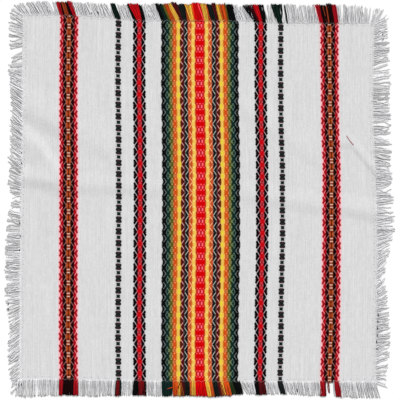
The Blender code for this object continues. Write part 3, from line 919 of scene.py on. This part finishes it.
# %% Locks
Lock = namedtuple("Lock", "yarn root_start root_end tip_start tip_end")
COLOURED_LOCKS = {
    "top": [
        ("rose", -140, -137, -144, -140), ("soot", -137, -134.5, -140, -139),
        ("chain", -134.5, -131, -139.5, -134.5), ("soot", -132, -127, -134.5, -133),
        ("rose", -127, -123.5, -133, -129.5), ("fir_green", -84.5, -79, -89.5, -85),
        ("coal", -66.5, -62.5, -73, -71), ("cherry", -62.5, -58, -71.5, -62),
        ("coal", -58, -54.5, -62, -59), ("black", -39, -35.5, -45, -41.5),
        ("teal", -35.5, -31.5, -41.5, -38), ("olive", -31.5, -29, -38, -36),
        ("orange", -29, -24.5, -36.3, -32), ("maroon", -19.5, -17, -29, -24),
        ("gold", -24.5, -19.5, -32, -29), ("bottle", -17.5, -13, -24, -15.5),
        ("rust", -13, -9.5, -15.5, -14.2), ("gold", -9.8, -6, -14.5, -8.8),
        ("orange", -6.2, -5.2, -9, -7.6), ("red", -5.2, 4.5, -7.6, 0.2), ("red_dot", 3.4, 4.1, -3.4, -2.8),
        ("gold", 4.5, 8.5, -0.6, 5), ("rust", 8.7, 11.2, 4.6, 6.2), ("bottle", 11.2, 16, 6, 11.2),
        ("maroon", 16, 19, 11.2, 15), ("gold", 19, 22.5, 15, 19), ("orange", 22.5, 27.5, 19, 24),
        ("olive", 27.5, 29.2, 24, 25.2), ("black", 29.2, 36.5, 25.2, 31.8), ("coal", 54.5, 58, 42.5, 48),
        ("plum", 58, 59.5, 47, 52), ("cherry", 59.5, 62.5, 52, 58), ("coal", 62.5, 66.5, 58, 63.5),
        ("fir_green", 78, 82.2, 70.5, 82), ("fir", 86.8, 87.8, 84, 85.4), ("blush", 119, 120.5, 113.5, 115),
        ("rose", 119.5, 123.5, 114.5, 120), ("soot", 123.5, 128, 120, 125),
        ("chain", 126, 126.7, 122.6, 123.2), ("chain", 127.8, 129.4, 124.6, 126),
        ("soot", 129.4, 134.5, 126, 131), ("rose", 134.5, 138.5, 130.5, 135.5),
    ],
    "bottom": [
        ("rose", -141, -136.5, -141, -138), ("soot", -136.5, -126, -137.5, -127),
        ("rose", -126, -122, -127, -121.5), ("fir_green", -84.2, -83.2, -85, -84.2),
        ("claret", -83.2, -80.4, -84.2, -81), ("fir_green", -80.4, -78.6, -81, -79),
        ("coal", -66, -61.5, -67.5, -61), ("claret", -61.5, -56, -62, -55), ("coal", -57, -54, -57, -54),
        ("teal", -38.5, -27.5, -37.5, -28), ("orange", -27.5, -22, -27, -22),
        ("gold", -22, -20, -22.5, -19), ("tan", -20.5, -19, -20, -16.5), ("maroon", -19, -15.5, -19, -14.8),
        ("claret", -19, -18, -27, -24.5), ("bottle", -15.5, -10.5, -15, -9.5),
        ("rust", -10.5, -8.5, -9.8, -8), ("gold", -9, -5, -8.8, -4.6), ("red", -5, 5, -5, 7.6),
        ("gold", 5, 8.5, 7.8, 11.4), ("rust", 8.5, 12, 11, 14.5), ("bottle", 12, 16.8, 14.5, 20),
        ("maroon", 16.8, 19.5, 19.5, 23), ("tan", 19.5, 21, 22, 24.4), ("gold", 20.6, 22.8, 24, 26.6),
        ("orange", 22.5, 28.5, 26.4, 32.2), ("claret", 18.4, 19.2, 28.5, 30),
        ("claret", 21.6, 22.4, 24.6, 25.6), ("moss", 28.5, 32, 32, 36.5), ("black", 32, 40, 36.5, 43.5),
        ("coal", 54.5, 58.5, 56, 59), ("maroon", 58.5, 64, 59, 67), ("fir", 77.5, 82.5, 81, 86),
        ("rose", 119.8, 124.6, 120.4, 125.2), ("garnet", 124.6, 125.6, 125.4, 126.4),
        ("rose", 134, 138.5, 136, 141),
    ],
}
NARROWEST = 2.0
LAST_WIDTH = 1.5
PULL_SPREAD = (0.6, 1.2)


def locks_of(side, rng):
    """The coloured locks of a side, and white ones in what they leave, leaning as they were combed."""
    coloured = [Lock(*lock) for lock in COLOURED_LOCKS.get(side.name, [])]
    place, last = side.ends
    white = []
    for start, end in sorted((lock.root_start, lock.root_end) for lock in coloured) + [(last, last)]:
        while start - place > NARROWEST:
            width = rng.uniform(*side.lock_width)
            stop = start if start - place < width * LAST_WIDTH else place + width
            middle = (place + stop) / 2
            tip = middle + float(read_table(side.comb, middle, 2)) + rng.normal(0, side.habit.sway)
            half_width = (stop - place) / 2 * (1 - side.pull * rng.uniform(*PULL_SPREAD))
            white.append(Lock("fringe_white", place, stop, tip - half_width, tip + half_width))
            place = stop
        place = max(place, end)
    return white + coloured


# %% [markdown]
# Every yarn is its own tapered tube. Its path starts inside the edge, bends over towards its place in the
# lock's tip, wavers a little and comes down to rest on the table, or on the yarns that already lie there.

# %% Paths of the yarns
RINGS = 12
ROOT_INSIDE = (0.4, 2.2)
ROOT_HEIGHT = 0.85
YARN_RADIUS = 0.42
COLOUR_HABIT = Habit(0.36, 0.95, 1.03, 0.2, 0.05, 0.25, 1.6, 1.2, (0.5, 1.35), 0.0)
COLOUR_RISE = 0.85
TURNS = (0.6, 1.5)
SWAY = 0.25
PLACE_SPREAD = (0.25, 0.75)
DYE_SPREAD = 0.07
FALL = 1.5
CLIMB = 2.5
SETTLE = 0.55
SHARES = np.linspace(0, 1, RINGS)
ARCH = np.sin(math.pi * SHARES)


def deeper(colour, amount):
    """A dye made deeper or paler."""
    return [channel * amount for channel in colour[:3]] + [1.0]


def yarn_path(side, root, tip, reach, waver, layer, rng):
    """The centre line of a yarn, in mm."""
    phase = rng.uniform(0, 2 * math.pi)
    turns = rng.uniform(*TURNS)
    along = between(root, tip, SHARES)
    along = along + waver * np.sin(phase + 2 * math.pi * turns * SHARES) * SHARES
    edge = float(read_table(side.edge, root))
    inside = rng.uniform(*ROOT_INSIDE)
    sway = SWAY * np.sin(phase * 2 + 2 * math.pi * SHARES) * SHARES
    x, y = off_edge(side.name, along, edge - inside + (inside + reach) * SHARES + sway)
    root_height = float(lift(*off_edge(side.name, root, edge))) + ROOT_HEIGHT
    z = between(YARN_RADIUS, root_height, 1 - smooth_step(SHARES * FALL))
    z = z + layer * smooth_step(SHARES * CLIMB) * (1 - SETTLE * SHARES)
    return np.stack([x, y, z], -1)


def comb_side(side, rng):
    """All yarns of a side: centre lines and dyes, deeper at random, painted darker as shade on lower
    layers.
    """
    paths, dyes = [], []
    for lock in locks_of(side, rng):
        white = lock.yarn == "fringe_white"
        habit = side.habit if white else COLOUR_HABIT
        widest = max(lock.root_end - lock.root_start, lock.tip_end - lock.tip_start)
        number = max(2, round(widest / habit.pitch))
        lock_reach = rng.normal(1.0, side.uneven)
        for each in range(number):
            share = (each + rng.uniform(*PLACE_SPREAD)) / number
            root = between(lock.root_start, lock.root_end, share)
            if any(low < root < high for low, high in side.bare):
                continue
            combed = between(lock.tip_start, lock.tip_end, share)
            tip = combed + rng.normal(0, habit.astray if rng.uniform() < habit.strays else habit.close)
            reach = float(read_table(side.comb, root)) * lock_reach
            reach *= rng.uniform(habit.shortest, habit.longest)
            waver = rng.normal(0, habit.waver)
            layer = rng.uniform(0, habit.layers)
            if not white and each % 2 == 0:
                tip, waver, layer = combed, 0.0, 0.0
            rise = 0 if white else COLOUR_RISE
            paths.append(yarn_path(side, root, tip, reach, waver, layer + rise, rng))
            # White yarns take their side's painted light or shade; every yarn also varies a little in tone.
            level = (side.level if white else 1.0) * rng.normal(1.0, DYE_SPREAD)
            # Lower layers are painted darker, as shade from the yarns over them, and the top ones a little
            # lighter.
            painted_layer_shading = between(*habit.depth, math.sqrt(layer / habit.layers))
            dyes.append(deeper(dye(lock.yarn), level * painted_layer_shading))
    return paths, dyes


# %% Loose strands
LOOSE_STRANDS = {  # dye, x and y of the root, x and y of the tip
    "bottom": [
        ("orange", -26.5, -186.6, -34, -189), ("chain", 128, -182, 128.8, -192.5),
        ("claret", 128.6, -182, 129.6, -193.5),
    ],
    "right": [("fringe_white", *ends) for ends in (
        (173, 179, 178, 190.5), (174, 178.5, 183, 188.5), (174, 178, 180.5, 189.5),
        (174, 177, 186.5, 185.5), (174, 176, 189, 182), (175, -179, 187.5, -188),
        (175, -179, 186, -186.2), (175, -184, 185.5, -172.5),
    )],
}
STRAND_BOW = 0.9
STRAND_ARCH = 1.6
STRAND_ROOT = 0.4
FLAT_BEYOND = 100


def loose_path(x, y, tip_x, tip_y, rng):
    """A single strand, bowed a little, that lies on the table."""
    bow = rng.normal(0, STRAND_BOW) * ARCH
    return np.stack([
        between(x, tip_x, SHARES) - bow * (tip_y - y) / YARN_LENGTH,
        between(y, tip_y, SHARES) + bow * (tip_x - x) / YARN_LENGTH,
        YARN_RADIUS + STRAND_ARCH * ARCH * (abs(tip_x) < FLAT_BEYOND) + STRAND_ROOT * (1 - SHARES),
    ], -1)


# %% Yarn tubes
YARN_LENGTH = 14.0
TUBE_SIDES = 5
TAPER = 0.2
LUMPS = 0.12
MAP_COLUMNS = 40
TUBE_CELL = (0.08, 0.04, 0.84)
CAP_CENTRES = (0.3, 0.7)
CAP_LEVEL = 0.94
CAP_SIZE = (0.1, 0.03)
SEEDS = 50


def yarn_tubes(name, paths, dyes, radius, rng):
    """Turns centre lines and their dyes into one mesh of closed tubes."""
    paths = np.array(paths)
    number, rings, _ = paths.shape
    tangent = np.gradient(paths, axis=1)
    tangent /= np.linalg.norm(tangent, axis=2, keepdims=True)
    sideways = np.cross(tangent, [0.0, 0.0, 1.0])
    sideways /= np.maximum(np.linalg.norm(sideways, axis=2, keepdims=True), 1e-6)
    upwards = np.cross(sideways, tangent)
    share = np.linspace(0, 1, rings)
    thick = radius * (1 - TAPER * share**5) * (1 + LUMPS * rng.normal(0, 1, (number, rings)))
    angle = 2 * math.pi * np.arange(TUBE_SIDES) / TUBE_SIDES
    ring = sideways[:, :, None] * np.cos(angle)[:, None] + upwards[:, :, None] * np.sin(angle)[:, None]
    points = paths[:, :, None] + ring * thick[:, :, None, None]
    points[..., 2] = np.maximum(points[..., 2], CLEAR)

    first = np.arange(number)[:, None, None] * rings * TUBE_SIDES
    low = first + np.arange(rings - 1)[:, None] * TUBE_SIDES
    high = low + TUBE_SIDES
    column = np.arange(TUBE_SIDES)
    beside = (column + 1) % TUBE_SIDES
    walls = np.stack([low + column, high + column, high + beside, low + beside], -1).reshape(-1, 4)
    begin = first[:, 0] + column
    end = begin[:, ::-1] + (rings - 1) * TUBE_SIDES

    cell_y, cell_x = np.divmod(np.arange(number), MAP_COLUMNS)
    step_x = np.array([0, 0, 1, 1]) + column[:, None]
    step_y = np.array([0, 1, 1, 0]) + np.arange(rings - 1)[:, None, None]
    left, low_edge, fill = TUBE_CELL
    u = cell_x[:, None, None, None] + left + fill * step_x / TUBE_SIDES
    v = cell_y[:, None, None, None] + low_edge + fill * step_y / (rings - 1)
    spots = [np.stack(np.broadcast_arrays(u, v), -1).reshape(-1, 2)]
    for centre in CAP_CENTRES:
        cap_u = cell_x[:, None] + centre + CAP_SIZE[0] * np.cos(angle)
        cap_v = cell_y[:, None] + CAP_LEVEL + CAP_SIZE[1] * np.sin(angle)
        spots.append(np.stack([cap_u, cap_v], -1).reshape(-1, 2))
    bake_map = np.concatenate(spots) / [MAP_COLUMNS, math.ceil(number / MAP_COLUMNS)]

    faces = walls.tolist() + begin.tolist() + end.tolist()
    made = new_piece(name, to_frame(*np.moveaxis(points, -1, 0)), faces, bake_map)
    made.data.shade_smooth()
    colours = np.repeat(dyes, rings * TUBE_SIDES, axis=0)
    add_attribute(made.data, "yarn_colour", "FLOAT_COLOR", "POINT", colours)
    seed = rng.uniform(0, SEEDS, (number, 1, 1))
    place = np.broadcast_arrays(share[:, None] * YARN_LENGTH, np.cos(angle), seed)
    add_attribute(made.data, "yarn_place", "FLOAT_VECTOR", "POINT", np.stack(place, -1))
    return made


# %% Yarn finish
def yarn_finish(name):
    """Spun cotton: two plies twisted round each other, lighter fibres, and painted shade on each yarn's
    sides.
    """
    finish = Finish(name, Roughness=0.9, Specular_IOR_Level=0.1)
    length, turn, seed = finish.parts("yarn_place")
    ply = (length * 5.0 + turn * 2.0 + seed).wave() * 0.5 + 0.5
    fibres = finish.noise(length * 1.2, turn, seed) - 0.5
    # The sides of each yarn are painted darker: painted shade where the yarns lie against each other.
    side = abs(turn).ramp(0.25, 1.0)
    # The last tenth of each yarn is painted darker: painted shade where its cut end meets the table.
    painted_tip_shade = length.ramp(0.9 * YARN_LENGTH, YARN_LENGTH)
    # The first 4 mm from the root are painted lighter: painted light against the shade where the roots pile
    # up over the edge.
    root = 1.0 - length.ramp(0.0, 4.0)
    level = (0.96 + ply * 0.06 + fibres * 0.12) * (1.0 - side * 0.55)
    level = level * (1.0 - painted_tip_shade * 0.2 + root * 0.08)
    finish.wear(
        Base_Color=finish.shade(finish.attribute("yarn_colour", "Color"), level),
        Normal=finish.bump(ply, YARN_BUMP),
    )
    return finish.material


cotton_yarn = yarn_finish("cotton_yarn")
for number, side in enumerate(SIDES):
    rng = np.random.default_rng(20 + number)
    paths, dyes = comb_side(side, rng)
    for colour, *ends in LOOSE_STRANDS.get(side.name, []):
        paths.append(loose_path(*ends, rng))
        dyes.append(dye(colour))
    made = yarn_tubes("yarns_" + side.name, paths, dyes, YARN_RADIUS, rng)
    made.data.materials.append(cotton_yarn)
    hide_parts(side.node)
    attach(made, "root")
    print(side.name, "fringe:", len(paths), "yarns,", len(made.data.polygons), "faces")

# %% [markdown]
# ## Sewing along the edges
#
# One row of white machine stitches runs a few millimetres inside every edge, and a short grey thread beside
# each stitch is painted shade in the needle hole. It stops at the stripes, whose close warp hides it. There
# the last pick of weft shows instead, as a fine zigzag along the edge.

# %% Stitches, painted needle hole shades and the last pick
STITCH_RINGS = 5
STITCH_PITCH = 7.0
STITCH_GAP = 0.8
STITCH_INSIDE = 3.3
STITCH_RADIUS = 0.2
STITCH_ARCH = 0.1
STITCH_SUNK = 0.16
STITCH_WOBBLE = 0.12
DENT_SHADE_ARCH = 0.04
PICK_RADIUS = 0.15
PICK_ARCH = 0.08
PICK_RISE = 0.14
PICK_LEG = 2.9
PICK_SWING = 0.9
PICK_INSIDE = 1.2
PICK_MARGIN = 0.8
STRIPE_MARGIN = 1.5
SEWN_FROM_TO = {"warp_yarn": 172, "weft_yarn": 177}
WEFT_WHITE = 0.24


def on_top(start, end, arch, rise):
    """A short centre line over the cloth between two places, arched by so many mm."""
    share = np.linspace(0, 1, STITCH_RINGS)
    x, y = (between(low, high, share) for low, high in zip(start, end))
    return np.stack([x, y, lift(x, y) + CLEAR + rise + arch * np.sin(math.pi * share)], -1)


def in_stripe(side, along):
    """True where a place on the top or bottom edge is in a coloured stripe."""
    if side.slot == "weft_yarn":
        return False
    return any(left - STRIPE_MARGIN < along < right + STRIPE_MARGIN for left, right in SPANS)


def place_at(side, along, inside):
    """The x and y of a place so far inside an edge."""
    return off_edge(side.name, along, float(read_table(side.edge, along)) - inside)


def tint_at(stripe, warp):
    """The colour of thin white weft over the yarn at a warp place: mostly white, with some of the yarn."""
    number = int((warp - span_of(stripe)[0]) / COLUMN)
    yarn = dye(columns_of(stripe)[number].yarn)
    return [min(1.0, WEFT_WHITE + LIGHT_LEVEL * channel) for channel in yarn[:3]] + [1.0]


stitches, dent_shades, picks, tints = [], [], [], []
sewing_rng = np.random.default_rng(40)
for side in SIDES:
    limit = SEWN_FROM_TO[side.slot]
    for along in np.arange(-limit, limit, STITCH_PITCH):
        if in_stripe(side, along) or in_stripe(side, along + STITCH_PITCH):
            continue
        inside = STITCH_INSIDE + sewing_rng.normal(0, STITCH_WOBBLE)
        steps = (0, STITCH_GAP, STITCH_PITCH)
        dent, start, end = (place_at(side, along + step, inside) for step in steps)
        stitches.append(on_top(start, end, STITCH_ARCH, GROUND_THICK - STITCH_SUNK))
        dent_shades.append(on_top(dent, start, DENT_SHADE_ARCH, GROUND_THICK))
    if side.slot == "warp_yarn":
        for stripe in STRIPES:
            left, right = span_of(stripe)
            legs = round((right - left) / PICK_LEG)
            corners = np.linspace(left + PICK_MARGIN, right - PICK_MARGIN, legs + 1)
            for leg, (start, end) in enumerate(zip(corners, corners[1:])):
                swing = PICK_SWING * (1 if leg % 2 else -1)
                low = place_at(side, start, PICK_INSIDE + swing)
                high = place_at(side, end, PICK_INSIDE - swing)
                picks.append(on_top(low, high, PICK_ARCH, STRIPE_THICK + PICK_RISE))
                tints.append(tint_at(stripe, (start + end) / 2))
print(len(stitches), "stitches,", len(dent_shades), "needle dents,", len(picks), "legs of the last pick")

# The grey needle thread is painted shade in the needle holes.
thread_dyes = [dye("fringe_white")] * len(stitches) + [dye("needle")] * len(dent_shades)
sewn = yarn_tubes("edge_stitching", stitches + dent_shades, thread_dyes, STITCH_RADIUS, sewing_rng)
last_pick = yarn_tubes("last_pick", picks, tints, PICK_RADIUS, sewing_rng)
for made in (sewn, last_pick):
    made.data.materials.append(cotton_yarn)
    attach(made, "root")

# %% [markdown]
# Small loops of dark thread stand between the fringe and the edge as painted shadow in the gaps there, and
# one short red end of warp has stayed on the white field at the right.

# %% Loose threads
SHADE_LOOPS = [  # x and y of the middle, and how far the loop runs in x and y
    (178.2, -115, 0, 3.2), (177.8, -121.5, 0, 2.2), (177.3, -128.2, 0, 2.6), (177.1, -135.4, 0, 2.2),
    (176.6, -141.8, 0, 3.0), (176.9, -148.8, 0.8, 1.4), (182.6, 165.2, 0, 2.0), (183, 160.7, 0, 1.6),
    (-179.5, 55.5, 0, 1.2), (-178.4, 47.2, 0, 2.2), (-178.2, 36.6, 0.4, 2.2), (-180.1, -23.2, 0, 1.6),
    (-179.5, -36, 0, 1.2), (-180.2, -50, 0, 1.2), (-191.6, -103.8, 0.6, 1.8), (-191.7, -109, 0, 1.6),
    (-108.2, 186.8, 2.2, 0.3), (-101.9, 187.5, -1.4, 3.4), (-181, -185, 1, 3.6), (-178.8, -184.5, 0.8, 3.2),
    (97.4, -190, 0.3, 3.2),
]
LOOP_RADIUS = 0.42
LOOP_SWAY = 0.2
LOOP_ARCH = 0.9
STRAY = (146.5, 64.3, 153.5, 54.8)
STRAY_BOW = 0.5
STRAY_RADIUS = 0.33
STRAY_RISE = 0.35


def loop_path(x, y, run_x, run_y):
    """A small loop of thread that stands up between the yarns."""
    sway = LOOP_SWAY * np.sin(2 * math.pi * SHARES)
    middle = SHARES - 0.5
    return np.stack([x + run_x * middle + sway, y + run_y * middle, 1.0 + LOOP_ARCH * ARCH], -1)


stray_x = between(STRAY[0], STRAY[2], SHARES) - STRAY_BOW * ARCH
stray_y = between(STRAY[1], STRAY[3], SHARES)
stray_path = np.stack([stray_x, stray_y, lift(stray_x, stray_y) + GROUND_THICK + STRAY_RISE], -1)
loop_paths = [loop_path(*loop) for loop in SHADE_LOOPS]
# Dark thread loops: painted shadow in the gaps between the fringe and the edge.
shade_loops = yarn_tubes("shade_thread_loops", loop_paths, [dye("thread")] * len(SHADE_LOOPS), LOOP_RADIUS, sewing_rng)
stray = yarn_tubes("stray_thread", [stray_path], [dye("stray_red")], STRAY_RADIUS, sewing_rng)
for made, slot in ((shade_loops, "weft_yarn"), (stray, "warp_yarn")):
    made.data.materials.append(cotton_yarn)
    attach(made, "root")

# %% [markdown]
# ## What the pieces are
#
# The cloth is one sheet, cut 355 by 363 mm. The stripes and the fringe are of the same cloth.

# %% [markdown]
# ## Floor, light and camera
#
# The photo was taken from straight above in soft light from the top, on white. A large sun at half
# height behind the top edge draws the creases, and an even white sky fills the shadows. The camera hangs
# two metres up with a long lens, at one pixel for a millimetre.

# %% Floor
FLOOR_HALF = 3.0
FLOOR_DROP = 0.00005
floor_mesh = bpy.data.meshes.new("floor")
corners = [(x * FLOOR_HALF, y * FLOOR_HALF, 0) for x, y in ((-1, -1), (1, -1), (1, 1), (-1, 1))]
floor_mesh.from_pydata(corners, [], [(0, 1, 2, 3)])
floor = new_object("floor", floor_mesh)
floor.location.z = -FLOOR_DROP
pale = Finish("pale_floor", Base_Color=(0.93, 0.93, 0.93, 1), Roughness=1.0, Specular_IOR_Level=0.0)
floor_mesh.materials.append(pale.material)

# %% Light
SKY = 0.55
SUN_SHARE = LIGHT_LEVEL - SKY
SUN_HEIGHT = math.radians(45)
SUN_TURN = math.radians(20)
SUN_SPREAD = math.radians(25)
world = bpy.data.worlds.new("studio")
world.use_nodes = True
background = world.node_tree.nodes["Background"].inputs
background["Color"].default_value = (1, 1, 1, 1)
background["Strength"].default_value = SKY
bpy.context.scene.world = world
sun_data = bpy.data.lights.new("window_light", "SUN")
sun_data.energy = SUN_SHARE * math.pi / math.sin(SUN_HEIGHT)
sun_data.angle = SUN_SPREAD
sun = new_object("window_light", sun_data)
sun.rotation_euler = (-(math.pi / 2 - SUN_HEIGHT), 0, -SUN_TURN)
bpy.context.scene.view_settings.view_transform = "Standard"

# %% Camera
CAMERA_HEIGHT = 2.0
VIEW_WIDTH = 0.4
SENSOR = 36.0
camera_data = bpy.data.cameras.new("camera")
camera_data.sensor_width = SENSOR
camera_data.lens = SENSOR * CAMERA_HEIGHT / VIEW_WIDTH
camera = new_object("camera", camera_data)
camera.location = (SHIFT_X, SHIFT_Y, CAMERA_HEIGHT)
bpy.context.scene.camera = camera
